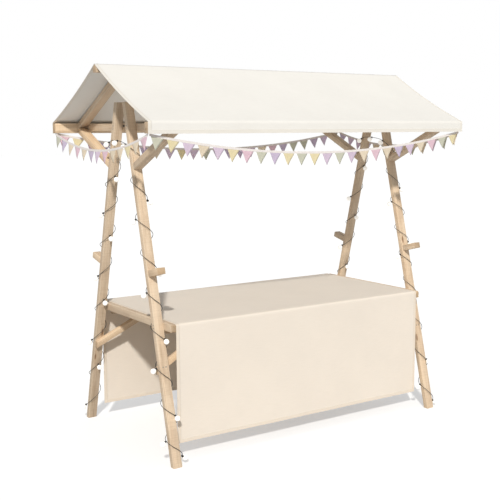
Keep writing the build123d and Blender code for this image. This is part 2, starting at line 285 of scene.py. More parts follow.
def softwood(name, look):
    material, tree = newMaterial(name)
    early, middle, late = look["early"], look["middle"], look["late"]
    stem = attribute(tree, "grain", "Vector")
    size = addNode(tree, "ShaderNodeSeparateXYZ", {0: attribute(tree, "timberSize", "Vector")}).outputs
    seed = size[2]
    shift = addNode(tree, "ShaderNodeCombineXYZ", {0: times(tree, seed, 7.3)}).outputs[0]
    apart = vectorCalc(tree, "ADD", stem, shift)
    # The pith lies outside most timbers, on a side that changes from one to the next.
    turned = times(tree, seed, 2.4)
    pith = addNode(tree, "ShaderNodeCombineXYZ", {
        1: times(tree, calc(tree, "SINE", turned), look["pithAway"][0]),
        2: times(tree, calc(tree, "COSINE", turned), look["pithAway"][1]),
    }).outputs[0]
    drift = cloudNoise(tree, stretch(tree, apart, woodScales["drift"]), 2.0, output="Color")
    centred = vectorCalc(tree, "SUBTRACT", drift, (0.5, 0.5, 0.5))
    strayed = vectorCalc(tree, "MULTIPLY", centred, (0, look["ringDrift"], look["ringDrift"]))
    bent = vectorCalc(tree, "ADD", vectorCalc(tree, "ADD", stem, pith), strayed)
    # Knots push the rings aside and darken.
    knotPlace = stretch(tree, apart, woodScales["knots"])
    knots = addNode(tree, "ShaderNodeTexVoronoi", {"Vector": knotPlace, "Scale": 1.0})
    knotDistance = knots.outputs["Distance"]
    knotHalo = spread(tree, knotDistance, 0.30, 0.05)
    knotCore = spread(tree, knotDistance, 0.115, 0.07)
    across = addNode(tree, "ShaderNodeSeparateXYZ", {0: bent}).outputs
    squares = [calc(tree, "POWER", across[axis], 2.0) for axis in (1, 2)]
    radius = calc(tree, "SQRT", plus(tree, *squares))
    pushed = plus(tree, radius, times(tree, knotHalo, look["knotPush"]))
    ringPhase = calc(tree, "FRACT", calc(tree, "DIVIDE", pushed, look["ringSpacing"]))
    fibre = cloudNoise(tree, stretch(tree, apart, woodScales["fibre"]), 3.0, roughness=0.6)
    streak = cloudNoise(tree, stretch(tree, apart, woodScales["streaks"]), 4.0)
    ringStops = [(0.0, middle), (0.12, early), (0.62, middle), (0.90, late), (1.0, middle)]
    rings = ramp(tree, ringPhase, ringStops)
    softened = mixColour(tree, plus(tree, 0.22, times(tree, streak, 0.45)), (*middle, 1), rings)
    tone = ramp(tree, streak, [(0.25, (0.80, 0.77, 0.72)), (0.5, (1, 1, 1)), (0.8, (1.10, 1.07, 1.03))])
    toned = mixColour(tree, 0.85, softened, tone, "MULTIPLY")
    fine = ramp(tree, fibre, [(0.3, (0.84, 0.81, 0.77)), (0.55, (1, 1, 1))])
    grained = mixColour(tree, 0.6, toned, fine, "MULTIPLY")
    # Slow patches along each timber, and faint saw marks across it.
    patches = cloudNoise(tree, stretch(tree, apart, woodScales["patches"]), 3.0, roughness=0.55)
    patchTone = ramp(tree, patches, [(0.34, look["patchTone"]), (0.58, (1, 1, 1))])
    patched = mixColour(tree, 1.0, grained, patchTone, "MULTIPLY")
    sawMarks = cloudNoise(tree, stretch(tree, apart, woodScales["sawMarks"]), 1.0)
    sawTone = ramp(tree, sawMarks, [(0.36, look["sawMarkTone"]), (0.52, (1, 1, 1))])
    sawn = mixColour(tree, 1.0, patched, sawTone, "MULTIPLY")
    ownShade = calc(tree, "FRACT", times(tree, seed, 5.77))
    warmer = ramp(tree, ownShade, [(0, (0.90, 0.90, 0.90)), (0.5, (1, 1, 1)), (1, (1.06, 1.01, 0.93))])
    shaded = mixColour(tree, 1.0, sawn, warmer, "MULTIPLY")
    perTimber = vectorCalc(tree, "MULTIPLY", shaded, attribute(tree, "timberTone"))
    ringed = mixColour(tree, times(tree, knotHalo, 0.38), perTimber, (*late, 1))
    knotted = mixColour(tree, times(tree, knotCore, 0.85), ringed, (*look["knot"], 1))
    # Sawn ends drink more and look darker, and long edges are rubbed pale.
    shade = (look["endShade"], look["endShade"] * 0.94, look["endShade"] * 0.86, 1)
    darkened = mixColour(tree, 1.0, knotted, shade, "MULTIPLY")
    cut = mixColour(tree, attribute(tree, "cutEnd"), knotted, darkened)
    local = addNode(tree, "ShaderNodeSeparateXYZ", {0: stem}).outputs
    gaps = [calc(tree, "SUBTRACT", size[axis], calc(tree, "ABSOLUTE", local[axis + 1])) for axis in (0, 1)]
    ragged = times(tree, calc(tree, "SUBTRACT", streak, 0.5), 0.006)
    fromEdge = plus(tree, calc(tree, "MAXIMUM", *gaps), ragged)
    rubbed = spread(tree, fromEdge, look["edgeWear"], 0.0, 0.0, 0.45)
    colour = mixColour(tree, rubbed, cut, look["rubbedColour"])
    height = plus(tree, times(tree, fibre, 0.6), times(tree, ringPhase, 0.25))
    height = plus(tree, height, times(tree, sawMarks, 0.5))
    bump = addNode(tree, "ShaderNodeBump", {"Height": height, "Strength": 0.35, "Distance": 0.0008})
    rough = spread(tree, fibre, 0.0, 1.0, look["roughness"] - 0.08, look["roughness"] + 0.14, "LINEAR")
    surface = {"Base Color": colour, "Roughness": rough, "Normal": bump.outputs[0]}
    wood = addNode(tree, "ShaderNodeBsdfPrincipled", surface)
    finishSurface(tree, wood.outputs[0])
    return material


timberCut = {"edgeRound": 0.0016, "edgeSteps": 2, "boardRound": 0.001}
timberTone = {
    "leg_front_left": 1.10,
    "leg_back_left": 0.93,
    "leg_front_right": 1.04,
    "table_bearer_left": 0.92,
}


# Along the longest straight edge, and square to it along the widest side's normal.
def timberAxes(part):
    longest = max(part.edges, key=lambda edge: edge.calc_length())
    along = (longest.verts[1].co - longest.verts[0].co).normalized()
    sides = [face for face in part.faces if abs(face.normal.dot(along)) < 0.02]
    wide = max(sides, key=lambda face: face.calc_area()).normal.copy()
    return along, wide, along.cross(wide)


# One bmesh for each separate solid of a CAD node, with its flat faces whole.
def splitIslands(source):
    whole = bmesh.new()
    whole.from_mesh(source.data)
    bmesh.ops.remove_doubles(whole, verts=whole.verts, dist=1e-5)
    bmesh.ops.dissolve_limit(whole, angle_limit=radians(1), verts=whole.verts, edges=whole.edges)
    remaining = set(whole.verts)
    islands = []
    while remaining:
        first = min(remaining, key=lambda vert: vert.index)
        found, queue = {first}, [first]
        while queue:
            for edge in queue.pop().link_edges:
                for vert in edge.verts:
                    if vert not in found:
                        found.add(vert)
                        queue.append(vert)
        remaining -= found
        part = bmesh.new()
        matching = {vert: part.verts.new(vert.co) for vert in sorted(found, key=lambda vert: vert.index)}
        for face in whole.faces:
            if face.verts[0] in found:
                part.faces.new([matching[vert] for vert in face.verts])
        part.normal_update()
        islands.append(part)
    whole.free()
    return islands


# The node's own solid with its arrises eased, and the grain laid along it.
def dressTimber(node, seed, material, rounding):
    parts = []
    for number, part in enumerate(splitIslands(frame["nodes"][node])):
        along, wide, thick = timberAxes(part)
        edges = [edge for edge in part.edges if edge.calc_face_angle(0) > radians(20)]
        bmesh.ops.bevel(part, geom=edges, offset=rounding, segments=timberCut["edgeSteps"], profile=0.5,
                        affect="EDGES", clamp_overlap=True)
        spans = [[vert.co.dot(axis) for vert in part.verts] for axis in (along, wide, thick)]
        middle = Vector([(min(span) + max(span)) / 2 for span in spans])
        halfWide = max(spans[1]) - middle.y
        halfThick = max(spans[2]) - middle.z
        grain = part.verts.layers.float_vector.new("grain")
        size = part.verts.layers.float_vector.new("timberSize")
        tone = part.verts.layers.float.new("timberTone")
        ends = part.faces.layers.float.new("cutEnd")
        for vert in part.verts:
            vert[grain] = Vector((vert.co.dot(along), vert.co.dot(wide), vert.co.dot(thick))) - middle
            vert[size] = (halfWide, halfThick, seed + 0.37 * number)
            vert[tone] = timberTone.get(node, 1.0)
        for face in part.faces:
            face[ends] = 1.0 if abs(face.normal.dot(along)) > 0.6 else 0.0
        mesh = bpy.data.meshes.new(f"{node}Part{number}")
        part.to_mesh(mesh)
        part.free()
        parts.append(newObject(mesh.name, mesh, material))
    timber = joinObjects(parts, node + "Timber")
    smoothByAngle(timber.data, 30)
    return timber


def joinObjects(objects, name):
    with bpy.context.temp_override(active_object=objects[0], selected_editable_objects=objects):
        if len(objects) > 1:
            bpy.ops.object.join()
    objects[0].name = name
    objects[0].data.name = name
    return objects[0]


framePine = softwood("framePine", woodLook)
boardPine = softwood("boardPine", {**woodLook, "ringSpacing": 0.008, "roughness": 0.68})
woodSlots = {row["node"]: row["material_slot"] for row in frame["record"]["subparts"]}
for number, node in enumerate(sorted(frame["nodes"])):
    if woodSlots[node] == "frame_wood":
        place(dressTimber(node, 1.0 + number * 0.61, framePine, timberCut["edgeRound"]), "frame_wood", node)
    elif woodSlots[node] == "board_wood":
        place(dressTimber(node, 40.0, boardPine, timberCut["boardRound"]), "board_wood", node)
print("timbers dressed")


# Cloths: one grid follows the whole width of each cloth, then it is given its thickness

clothShape = {
    "spacing": 0.015,
    "thickness": 0.0024,
    "eaveZ": 2.076,
    "roofSag": 0.015,
    "slopeSteps": 24,
    "roofRipple": 0.004,
    "flapWave": 0.0035,
    "foldRadius": 0.016,
    "foldSteps": 6,
    "tableWave": 0.005,
    "tableTopCrease": 0.0009,
}


# Steps along a run of points that keep every corner, each with its outward direction in the YZ plane.
def sectionPoints(corners, spacing):
    stations, start = [], 0.0
    for (firstY, firstZ), (nextY, nextZ) in zip(corners, corners[1:]):
        length = dist((firstY, firstZ), (nextY, nextZ))
        steps = max(1, round(length / spacing))
        outY, outZ = -(nextZ - firstZ) / length, (nextY - firstY) / length
        for step in range(steps):
            share = step / steps
            place = (firstY + share * (nextY - firstY), firstZ + share * (nextZ - firstZ))
            stations.append((start + share * length, *place, outY, outZ))
        start += length
    stations.append((start, *corners[-1], outY, outZ))
    return stations


# A point on a waved cloth, and the way outward there.
def onCloth(stations, wave, along, x):
    nearest = min(stations, key=lambda station: abs(station[0] - along))
    _, y, z, outY, outZ = nearest
    run = along - nearest[0]
    lift = wave(along, x)
    return (x, y + outZ * run + outY * lift, z - outY * run + outZ * lift), (0, outY, outZ)


# Points on the shallow bow through three points that lie evenly apart, without the first point.
def arcThrough(first, middle, last, count):
    points = []
    for number in range(1, count + 1):
        t = number / count
        bow = 4 * t * (1 - t)
        straightMiddle = ((first[0] + last[0]) / 2, (first[1] + last[1]) / 2)
        points.append(tuple(
            first[i] + t * (last[i] - first[i]) + bow * (middle[i] - straightMiddle[i]) for i in (0, 1)
        ))
    return points


# A cloth over the section's corners, moved along its outward direction by wave(along, x).
def makeCloth(name, corners, halfLength, wave, material, thickness):
    stations = sectionPoints(corners, clothShape["spacing"])
    columns = round(2 * halfLength / clothShape["spacing"])
    vertices, uvs = [], []
    for along, y, z, outY, outZ in stations:
        for column in range(columns + 1):
            x = -halfLength + 2 * halfLength * column / columns
            lift = wave(along, x)
            vertices.append((x, y + outY * lift, z + outZ * lift))
            uvs.append((x, along))
    wide = columns + 1
    faces = []
    for row in range(len(stations) - 1):
        for column in range(columns):
            corner = row * wide + column
            faces.append((corner, corner + 1, corner + wide + 1, corner + wide))
    mesh = newMesh(name, vertices, faces)
    layer = mesh.uv_layers.new(name="UVMap")
    for loop in mesh.loops:
        layer.data[loop.index].uv = uvs[loop.vertex_index]
    cloth = newObject(name, mesh, material)
    thick = cloth.modifiers.new("thickness", "SOLIDIFY")
    thick.thickness = thickness
    thick.offset = -1
    applyAll(cloth)
    smoothByAngle(cloth.data, clothLook["sharpFrom"])
    return cloth


# The worked-out mesh takes the place of the piece's own, and its modifiers go.
def applyAll(piece):
    made = workedOut(piece)
    made.name = piece.name
    piece.modifiers.clear()
    piece.data = made


clothLook = {
    "canvas": (0.865, 0.845, 0.80),
    "canvasThrough": (0.72, 0.64, 0.50),
    "canvasShare": 0.05,
    "linen": (0.91, 0.84, 0.75),
    "linenThrough": (0.88, 0.70, 0.44),
    "linenShare": 0.16,
    "threadsPerMetre": 900,
    "slubs": (14, 500, 1),
    "hemWidth": 0.022,
    "hemSoftness": 0.0015,
    "soiling": 0.965,
    "hemTone": (0.965, 0.945, 0.915),
    "sharpFrom": 70,
}


# Plain weave: crossed threads and a doubled hem in the bump, slubs and soft soiling in the colour.
def wovenCloth(name, kind, halfLength, width):
    base, through, share = (clothLook[kind + part] for part in ("", "Through", "Share"))
    threads = clothLook["threadsPerMetre"]
    material, tree = newMaterial(name)
    place = addNode(tree, "ShaderNodeUVMap", uv_map="UVMap").outputs[0]
    parts = addNode(tree, "ShaderNodeSeparateXYZ", {0: place}).outputs
    fromEnd = calc(tree, "SUBTRACT", halfLength, calc(tree, "ABSOLUTE", parts[0]))
    offMiddle = calc(tree, "ABSOLUTE", calc(tree, "SUBTRACT", parts[1], width / 2))
    fromSide = calc(tree, "SUBTRACT", width / 2, offMiddle)
    hemWidth, soft = clothLook["hemWidth"], clothLook["hemSoftness"]
    hem = spread(tree, calc(tree, "MINIMUM", fromEnd, fromSide), hemWidth + soft, hemWidth - soft)
    warp = calc(tree, "SINE", times(tree, parts[0], threads * 2 * pi))
    weft = calc(tree, "SINE", times(tree, parts[1], threads * 2 * pi))
    slubs = cloudNoise(tree, stretch(tree, place, clothLook["slubs"]), 2.0)
    clouds = cloudNoise(tree, place, 5.0, scale=2.6, roughness=0.62)
    soiled = tuple(channel * clothLook["soiling"] for channel in base)
    tone = ramp(tree, clouds, [(0.30, soiled), (0.62, base)])
    hemmed = mixColour(tree, hem, tone, mixColour(tree, 1.0, tone, (*clothLook["hemTone"], 1), "MULTIPLY"))
    slubTone = ramp(tree, slubs, [(0.3, (0.93, 0.925, 0.91)), (0.6, (1, 1, 1))])
    threaded = mixColour(tree, 0.5, hemmed, slubTone, "MULTIPLY")
    height = plus(tree, times(tree, times(tree, warp, weft), 0.4), slubs)
    weaveBump = addNode(tree, "ShaderNodeBump", {"Height": height, "Strength": 0.25, "Distance": 0.0004})
    bump = addNode(tree, "ShaderNodeBump", {
        "Height": hem, "Strength": 0.8, "Distance": 0.0016, "Normal": weaveBump.outputs[0],
    })
    body = addNode(tree, "ShaderNodeBsdfPrincipled", {
        "Base Color": threaded, "Roughness": 0.88, "Normal": bump.outputs[0], "Specular IOR Level": 0.25,
    })
    body.inputs["Sheen Weight"].default_value = 0.15
    body.inputs["Sheen Roughness"].default_value = 0.5
    glow = addNode(tree, "ShaderNodeBsdfTranslucent", {"Color": (*through, 1), "Normal": bump.outputs[0]})
    both = addNode(tree, "ShaderNodeMixShader", {0: share, 1: body.outputs[0], 2: glow.outputs[0]})
    finishSurface(tree, both.outputs[0])
    return material


roofLow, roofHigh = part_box("roof_cover")
hemZ, ridgeZ, eaveY, roofHalf = roofLow.z, roofHigh.z, roofHigh.y, roofHigh.x
eaveZ = clothShape["eaveZ"]
slopeMiddle = (ridgeZ + eaveZ) / 2 - clothShape["roofSag"]


def roofCorners():
    steps = clothShape["slopeSteps"]
    front = [(-eaveY, hemZ), (-eaveY, eaveZ)]
    front += arcThrough((-eaveY, eaveZ), (-eaveY / 2, slopeMiddle), (0, ridgeZ), steps)
    back = arcThrough((0, ridgeZ), (eaveY / 2, slopeMiddle), (eaveY, eaveZ), steps)
    return front + back + [(eaveY, hemZ)]


roofFlap = eaveZ - hemZ
roofSlope = dist((0, ridgeZ), (eaveY, eaveZ))


# The slope hangs in soft hollows between the timbers, and the loose flap waves a little.
def roofWave(along, x):
    total = 2 * (roofFlap + roofSlope)
    fromHem = min(along, total - along)
    if fromHem < roofFlap:
        freedom = 1 - fromHem / roofFlap
        return clothShape["flapWave"] * freedom * noise.noise(Vector((x * 4.2, along, 3.1)))
    onSlope = sin(pi * (fromHem - roofFlap) / roofSlope) if fromHem < roofFlap + roofSlope else 0
    hollow = 0.5 + 0.5 * noise.noise(Vector((x * 2.1, along * 1.6, 7.7)))
    return -clothShape["roofRipple"] * onSlope * hollow


roofWidth = sum(dist(first, second) for first, second in zip(roofCorners(), roofCorners()[1:]))
canvas = wovenCloth("roofCanvas", "canvas", roofHalf, roofWidth)
roofCloth = makeCloth("roofCover", roofCorners(), roofHalf, roofWave, canvas, clothShape["thickness"])
place(roofCloth, "roof_cloth", "roof_cover")

tableLow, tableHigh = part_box("table_cloth")


def tableCorners():
    half, top, hem = tableHigh.y, tableHigh.z, tableLow.z
    radius, steps = clothShape["foldRadius"], clothShape["foldSteps"]
    points = [(-half, hem)]
    for face in (-1, 1):
        for number in range(steps + 1):
            angle = pi / 2 * number / steps
            sweepIn = cos(angle) if face < 0 else sin(angle)
            sweepUp = sin(angle) if face < 0 else cos(angle)
            points.append((face * (half - radius + radius * sweepIn), top - radius + radius * sweepUp))
    return points + [(half, hem)]


tableDrop = tableHigh.z - tableLow.z
tableWidth = sum(dist(first, second) for first, second in zip(tableCorners(), tableCorners()[1:]))


# The hanging sides wave more towards the hem, and the flat top has only faint creases.
def tableWave(along, x):
    fromHem = min(along, tableWidth - along)
    if fromHem > tableDrop:
        return -clothShape["tableTopCrease"] * (0.5 + 0.5 * noise.noise(Vector((x * 5, along * 4, 1.3))))
    freedom = (1 - fromHem / tableDrop) ** 1.2
    folds = noise.noise(Vector((x * 2.6, along * 0.5, 5.5)))
    folds += 0.35 * noise.noise(Vector((x * 6.5, along * 1.2, 9.1)))
    return clothShape["tableWave"] * freedom * folds


linen = wovenCloth("tableLinen", "linen", tableHigh.x, tableWidth)
tableCloth = makeCloth("tableCover", tableCorners(), tableHigh.x, tableWave, linen, clothShape["thickness"])
place(tableCloth, "table_cloth", "table_cloth")
print("cloths made")


# Repeats: small parts are set out on points by one node tree, which turns each to face its own way

# Named inputs choose the part, its material, and how much each copy varies.
def repeatTree():
    tree = bpy.data.node_groups.new("setOutParts", "GeometryNodeTree")
    kinds = {"Points": "Geometry", "Part": "Object", "Material": "Material", "Seed": "Int", "Spin": "Float",
             "Swing": "Float", "Size Variation": "Float"}
    for name, kind in kinds.items():
        tree.interface.new_socket(name=name, in_out="INPUT", socket_type="NodeSocket" + kind)
    tree.interface.new_socket(name="Parts", in_out="OUTPUT", socket_type="NodeSocketGeometry")
    given = tree.nodes.new("NodeGroupInput").outputs

    def named(name):
        node = addNode(tree, "GeometryNodeInputNamedAttribute", {"Name": name}, data_type="FLOAT_VECTOR")
        return node.outputs[0]

    def between(limit, offset):
        ownSeed = addNode(tree, "FunctionNodeIntegerMath", {0: given["Seed"], 1: offset}, operation="ADD")
        inputs = {2: times(tree, limit, -1.0), 3: limit, "Seed": ownSeed.outputs[0]}
        return addNode(tree, "FunctionNodeRandomValue", inputs, data_type="FLOAT").outputs[1]

    facing = addNode(tree, "FunctionNodeAxesToRotation", {0: named("facing"), 1: named("along")},
                     primary_axis="Z", secondary_axis="X").outputs[0]
    turn = addNode(tree, "ShaderNodeCombineXYZ", {
        0: between(given["Swing"], 3), 2: between(given["Spin"], 11),
    }).outputs[0]
    turned = addNode(tree, "FunctionNodeRotateRotation", {0: facing, 1: turn}, rotation_space="LOCAL")
    part = addNode(tree, "GeometryNodeObjectInfo", {"Object": given["Part"]}).outputs["Geometry"]
    size = calc(tree, "ADD", 1.0, between(given["Size Variation"], 23))
    copies = addNode(tree, "GeometryNodeInstanceOnPoints", {
        "Points": given["Points"], "Instance": part, "Rotation": turned.outputs[0], "Scale": size,
    }).outputs[0]
    whole = addNode(tree, "GeometryNodeRealizeInstances", {0: copies}).outputs[0]
    painted = addNode(tree, "GeometryNodeSetMaterial", {"Geometry": whole, "Material": given["Material"]})
    tree.links.new(painted.outputs[0], tree.nodes.new("NodeGroupOutput").inputs[0])
    return tree


setOutParts = repeatTree()


# A piece made of copies of part. Each place is a point, the way its Z looks, its X, and a tint.
def setOut(name, part, places, material, seed, spin=0.0, swing=0.0, sizeVariation=0.0):
    mesh = newMesh(name, [place[0] for place in places], [])
    for key, index in (("facing", 1), ("along", 2)):
        layer = mesh.attributes.new(key, "FLOAT_VECTOR", "POINT")
        layer.data.foreach_set("vector", [value for place in places for value in place[index]])
    mesh.attributes.new("tint", "FLOAT", "POINT").data.foreach_set("value", [place[3] for place in places])
    piece = newObject(name, mesh)
    modifier = piece.modifiers.new("setOutParts", "NODES")
    modifier.node_group = setOutParts
    sockets = setOutParts.interface.items_tree
    keys = {item.name: item.identifier for item in sockets if item.in_out == "INPUT"}
    values = {"Part": part, "Material": material, "Seed": seed, "Spin": spin, "Swing": swing,
              "Size Variation": sizeVariation}
    for key, value in values.items():
        modifier[keys[key]] = value
    applyAll(piece)
    bpy.data.objects.remove(part)
    return piece


# A turned part: pairs of radius and height along its Z axis, closed at both ends.
def lathe(name, profile, steps, capAngle=40):
    vertices, faces = [], []
    for radius, height in profile:
        for step in range(steps):
            angle = 2 * pi * step / steps
            vertices.append((radius * cos(angle), radius * sin(angle), height))
    for row in range(len(profile) - 1):
        low, high = row * steps, (row + 1) * steps
        for step in range(steps):
            following = (step + 1) % steps
            faces.append((low + step, low + following, high + following, high + step))
    faces.append(tuple(reversed(range(steps))))
    faces.append(tuple(range((len(profile) - 1) * steps, len(profile) * steps)))
    mesh = newMesh(name, vertices, faces)
    smoothByAngle(mesh, capAngle)
    return newObject(name, mesh)


# Strings of lamps: one flex for each end, on the solids' route but wound a little looser

flexShape = {
    "turnHeights": {
        "frontLeft": (1.880, 1.650, 1.425, 1.215, 0.980, 0.770, 0.530, 0.315, 0.110),
        "frontRight": (1.880, 1.640, 1.440, 1.240, 1.060, 0.870, 0.620, 0.360, 0.110),
        "backLeft": (2.020, 1.735, 1.535, 1.340, 1.110, 0.890, 0.655, 0.420, 0.170),
        "backRight": (2.020, 1.750, 1.550, 1.360, 1.160, 0.955, 0.745, 0.480, 0.190),
    },
    "sideStandOff": 0.0130,
    "faceStandOff": 0.0090,
    "slack": 0.006,
    "slackPace": 5.0,
    "radius": 0.0018,
    "sides": 8,
    "stepsPerPoint": 8,
    "lampDroop": radians(35),
    "lampOffMiddle": 0.020,
}
legShape = {
    "planeX": 1.061,
    "width": 0.060,
    "depth": 0.036,
    "footY": 0.609,
    "slope": 0.2515,
}
lean = atan(legShape["slope"])
wrapX = legShape["width"] / 2 + flexShape["sideStandOff"]
wrapY = legShape["depth"] / 2 + flexShape["faceStandOff"]
turnLength = 4 * (wrapX + wrapY)
firstCorner, secondCorner = wrapX / turnLength, (wrapX + 2 * wrapY) / turnLength
cornerShares = (firstCorner, secondCorner, 1 - secondCorner, 1 - firstCorner)


def legPoint(side, face, across, back, height):
    y = face * (legShape["footY"] - legShape["slope"] * height)
    centre = Vector((side * legShape["planeX"], y, height))
    return centre + Vector((across, back * cos(lean), back * face * sin(lean)))


# How slack the hand-wound flex is at this height, from 0 to 1.
def looseness(side, face, height):
    wander = noise.noise(Vector((height * flexShape["slackPace"], side * 3.1, face * 1.7)))
    return min(1.0, max(0.0, 0.5 + wander))


# A point of a turn, where across and back run from -1 to 1.
def flexPoint(side, face, across, back, height):
    slack = flexShape["slack"] * looseness(side, face, height)
    return legPoint(side, face, across * (wrapX + slack), back * (wrapY + slack), height)


def heightInTurn(turns, number, share):
    start = min(number, len(turns) - 2)
    return turns[number] - share * (turns[start] - turns[start + 1])


def winding(side, face, turns):
    hand = -face
    corners = ((hand, -1), (hand, 1), (-hand, 1), (-hand, -1))
    points = []
    for number in range(len(turns) - 1):
        for (across, back), share in zip(corners, cornerShares):
            points.append(flexPoint(side, face, across, back, heightInTurn(turns, number, share)))
    last = len(turns) - 1
    points.append(flexPoint(side, face, hand, -1, heightInTurn(turns, last, firstCorner)))
    points.append(flexPoint(side, face, hand, 0, heightInTurn(turns, last, 0.25)))
    return points


def topOfFrontLeg(side, turns):
    return [flexPoint(side, -1, -1, 1, heightInTurn(turns, 0, -secondCorner)),
            flexPoint(side, -1, -1, -1, heightInTurn(turns, 0, -firstCorner))]


def lampPlaces(side, frontTurns, backTurns):
    left, right = Vector((-1, 0, 0)), Vector((1, 0, 0))
    ahead = {face: Vector((0, -cos(lean), -face * sin(lean))) for face in (-1, 1)}
    last = len(frontTurns) - 1
    lamps = [(flexPoint(side, -1, -1, 0, heightInTurn(frontTurns, 0, -0.25)), left),
             (flexPoint(side, -1, 1, 0, heightInTurn(frontTurns, last, 0.25)), right)]
    for number in range(1, last, 2):
        lamps.append((flexPoint(side, -1, -1, 0, heightInTurn(frontTurns, number, 0.75)), left))
        if frontTurns[number] > tableHigh.z:
            lamps.append((flexPoint(side, -1, 1, 0, heightInTurn(frontTurns, number, 0.25)), right))
        else:
            height = heightInTurn(frontTurns, number, flexShape["lampOffMiddle"] / turnLength)
            lamps.append((flexPoint(side, -1, flexShape["lampOffMiddle"] / wrapX, -1, height), ahead[-1]))
    lamps += [(flexPoint(side, 1, 0, -1, height), ahead[1]) for height in backTurns[1::2]]
    for number in range(0, len(backTurns), 2):
        lamps.append((flexPoint(side, 1, -1, 0, heightInTurn(backTurns, number, 0.25)), left))
    between = (topOfFrontLeg(side, frontTurns)[0] + winding(side, 1, backTurns)[0]) / 2
    lamps.append((between, left))
    droop = flexShape["lampDroop"]
    down = Vector((0, 0, -sin(droop)))
    return [(at, (out * cos(droop) + down).normalized(), (0, 0, 1), 0.0) for at, out in lamps]


# A round flex on one smooth spline, whose control points are the route's.
def makeFlex(name, route, material):
    curve = bpy.data.curves.new(name, "CURVE")
    curve.dimensions = "3D"
    curve.bevel_depth = flexShape["radius"]
    curve.bevel_resolution = flexShape["sides"] // 4
    curve.resolution_u = flexShape["stepsPerPoint"]
    curve.use_fill_caps = True
    spline = curve.splines.new("NURBS")
    spline.points.add(len(route) - 1)
    spline.points.foreach_set("co", [value for point in route for value in (*point, 1)])
    spline.order_u = 3
    spline.use_endpoint_u = True
    holder = newObject(name + "Line", curve)
    mesh = workedOut(holder)
    bpy.data.objects.remove(holder)
    smoothByAngle(mesh, 50)
    return newObject(name, mesh, material)


# One coloured surface, whose roughness and tone wander a little.
def plainMaterial(name, colour, roughness, metallic=0.0, glow=0.0, mottle=0.0):
    material, tree = newMaterial(name)
    place = addNode(tree, "ShaderNodeTexCoord").outputs["Object"]
    cloud = cloudNoise(tree, place, 4.0, scale=60.0)
    rough = spread(tree, cloud, 0.0, 1.0, roughness - 0.07, roughness + 0.07, "LINEAR")
    darker = tuple(channel * (1 - mottle) for channel in colour)
    tone = ramp(tree, cloud, [(0.35, darker), (0.65, colour)])
    surface = {"Base Color": tone, "Roughness": rough, "Metallic": metallic}
    body = addNode(tree, "ShaderNodeBsdfPrincipled", surface)
    body.inputs["Emission Color"].default_value = (1, 0.97, 0.90, 1)
    body.inputs["Emission Strength"].default_value = glow
    finishSurface(tree, body.outputs[0])
    return material


lampShape = {
    "socket": (
        (0.0030, -0.0030), (0.0058, -0.0022), (0.0064, 0.0), (0.0064, 0.0075),
        (0.0072, 0.0082), (0.0072, 0.0102), (0.0050, 0.0108),
    ),
    "globeRadius": 0.0170,
    "globeCentre": 0.0270,
    "globeRows": 12,
    "crownAngle": 0.08,
    "neckRadius": 0.0064,
    "neckFoot": 0.0095,
    "steps": 20,
}
lampLook = {"rubber": (0.018, 0.018, 0.017), "opal": (0.90, 0.89, 0.86), "glow": 0.36}


# A sphere on a short neck.
def globeProfile(shape):
    neck, radius, centre = shape["neckRadius"], shape["globeRadius"], shape["globeCentre"]
    lowest = acos(-sqrt(1 - (neck / radius) ** 2))
    rows = [(neck, shape["neckFoot"])]
    for number in range(shape["globeRows"] + 1):
        angle = lowest - (lowest - shape["crownAngle"]) * number / shape["globeRows"]
        rows.append((radius * sin(angle), centre + radius * cos(angle)))
    return rows


rubber = plainMaterial("flexRubber", lampLook["rubber"], 0.52, mottle=0.3)
opalGlass = plainMaterial("opalGlass", lampLook["opal"], 0.22, glow=lampLook["glow"], mottle=0.03)
for end, side in (("Left", -1), ("Right", 1)):
    frontTurns, backTurns = flexShape["turnHeights"]["front" + end], flexShape["turnHeights"]["back" + end]
    route = winding(side, 1, backTurns)[::-1] + topOfFrontLeg(side, frontTurns)
    route += winding(side, -1, frontTurns)
    flex = makeFlex(f"lampFlex{end}", route, rubber)
    place(flex, "cable", f"light_cable_{end.lower()}")
    lamps = lampPlaces(side, frontTurns, backTurns)
    socketPart = lathe("socketPart", lampShape["socket"], lampShape["steps"])
    place(setOut(f"lampSockets{end}", socketPart, lamps, rubber, seed=4), "cable")
    globePart = lathe("globePart", globeProfile(lampShape), lampShape["steps"])
    globes = setOut(f"lampGlobes{end}", globePart, lamps, opalGlass, seed=5, spin=pi)
    place(globes, "bulb", f"light_bulbs_{end.lower()}")
print("lamps strung")


# Bunting: a tape with pointed flags under each side of the roof, tied at the corners

buntingShape = {
    "halfLengths": {"along": 1.235, "across": 0.661},
    "sags": {"along": 0.120, "across": 0.100},
    "planes": {"along": 0.661, "across": 1.245},
    "tieZ": 2.007,
    "tapeWidth": 0.014,
    "tapeThickness": 0.0024,
    "tapeSpacing": 0.012,
    "tapeWander": 0.0012,
    "flagWidth": 0.092,
    "flagDrop": 0.082,
    "flagPitch": 0.102,
    "flagThickness": 0.0009,
    "flagRows": 8,
    "flagCurl": 0.004,
    "curlPace": 2.8,
    "cupPace": 5,
    "sewnShare": 0.10,
    "flagSwing": radians(5),
    "flagVariation": 0.02,
}
buntingLook = {
    "tints": (
        (0.70, 0.61, 0.76), (0.86, 0.65, 0.73), (0.90, 0.81, 0.54),
        (0.70, 0.70, 0.58), (0.88, 0.78, 0.62), (0.79, 0.67, 0.80),
    ),
    "tape": (0.82, 0.77, 0.74),
}


# Height of the tape's upper edge, along its sagging arc, and the slope of the tape there.
def buntingLine(direction):
    half, sag = buntingShape["halfLengths"][direction], buntingShape["sags"][direction]
    radius = (half ** 2 + sag ** 2) / (2 * sag)

    def height(along):
        return buntingShape["tieZ"] - sag + radius - sqrt(radius ** 2 - along ** 2)

    def slope(along):
        return along / sqrt(radius ** 2 - along ** 2)

    return height, slope


